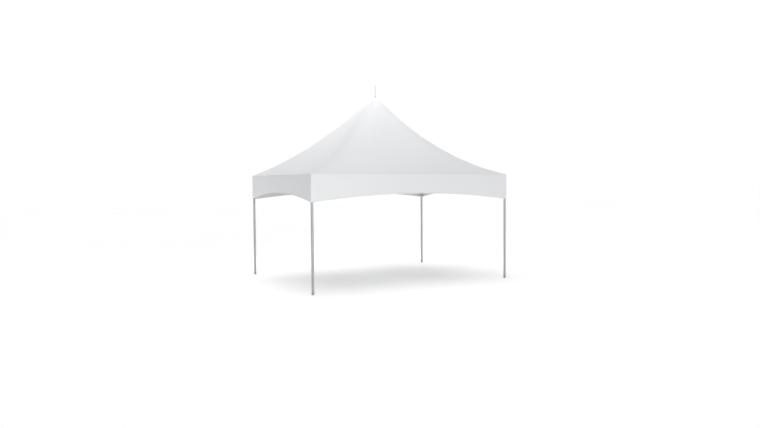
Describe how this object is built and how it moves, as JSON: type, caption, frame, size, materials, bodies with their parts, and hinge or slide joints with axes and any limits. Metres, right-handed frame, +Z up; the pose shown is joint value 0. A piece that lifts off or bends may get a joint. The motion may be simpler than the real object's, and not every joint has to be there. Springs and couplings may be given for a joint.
{
  "type": "marquee tent",
  "caption": "Open-sided high-peak frame marquee: fabric canopy with arched valances on a tube frame, with a mast held by crossed stays.",
  "frame": {"origin": "middle of the footprint on the ground", "axes": "+X along the long side, +Z up, the front long side faces -Y"},
  "size_m": [5, 4, 4.7],
  "materials": {
    "frame_tube": "anodised satin",
    "cast_fitting": "cast matt",
    "stay_steel": "galvanised",
    "foot_plastic": "moulded matt",
    "canopy_fabric": "coated woven polyester, satin white",
    "cap_coating": "white powder coat"
  },
  "bodies": {
    "root": {"leg_front_left": "frame_tube", "foot_front_left": "foot_plastic", "corner_fitting_front_left": "cast_fitting", "turnbuckle_front_left": "stay_steel", "stay_cable_front_left": "stay_steel", "leg_front_right": "frame_tube", "foot_front_right": "foot_plastic", "corner_fitting_front_right": "cast_fitting", "turnbuckle_front_right": "stay_steel", "stay_cable_front_right": "stay_steel", "leg_back_right": "frame_tube", "foot_back_right": "foot_plastic", "corner_fitting_back_right": "cast_fitting", "turnbuckle_back_right": "stay_steel", "stay_cable_back_right": "stay_steel", "leg_back_left": "frame_tube", "foot_back_left": "foot_plastic", "corner_fitting_back_left": "cast_fitting", "turnbuckle_back_left": "stay_steel", "stay_cable_back_left": "stay_steel", "eave_beam_front": "frame_tube", "roof_panel_front": "canopy_fabric", "valance_front": "canopy_fabric", "eave_beam_right": "frame_tube", "roof_panel_right": "canopy_fabric", "valance_right": "canopy_fabric", "eave_beam_back": "frame_tube", "roof_panel_back": "canopy_fabric", "valance_back": "canopy_fabric", "eave_beam_left": "frame_tube", "roof_panel_left": "canopy_fabric", "valance_left": "canopy_fabric", "mast": "frame_tube", "mast_foot": "cast_fitting", "mast_head": "cast_fitting", "crown_cap": "cap_coating", "finial": "frame_tube"}
  },
  "joints": []
}
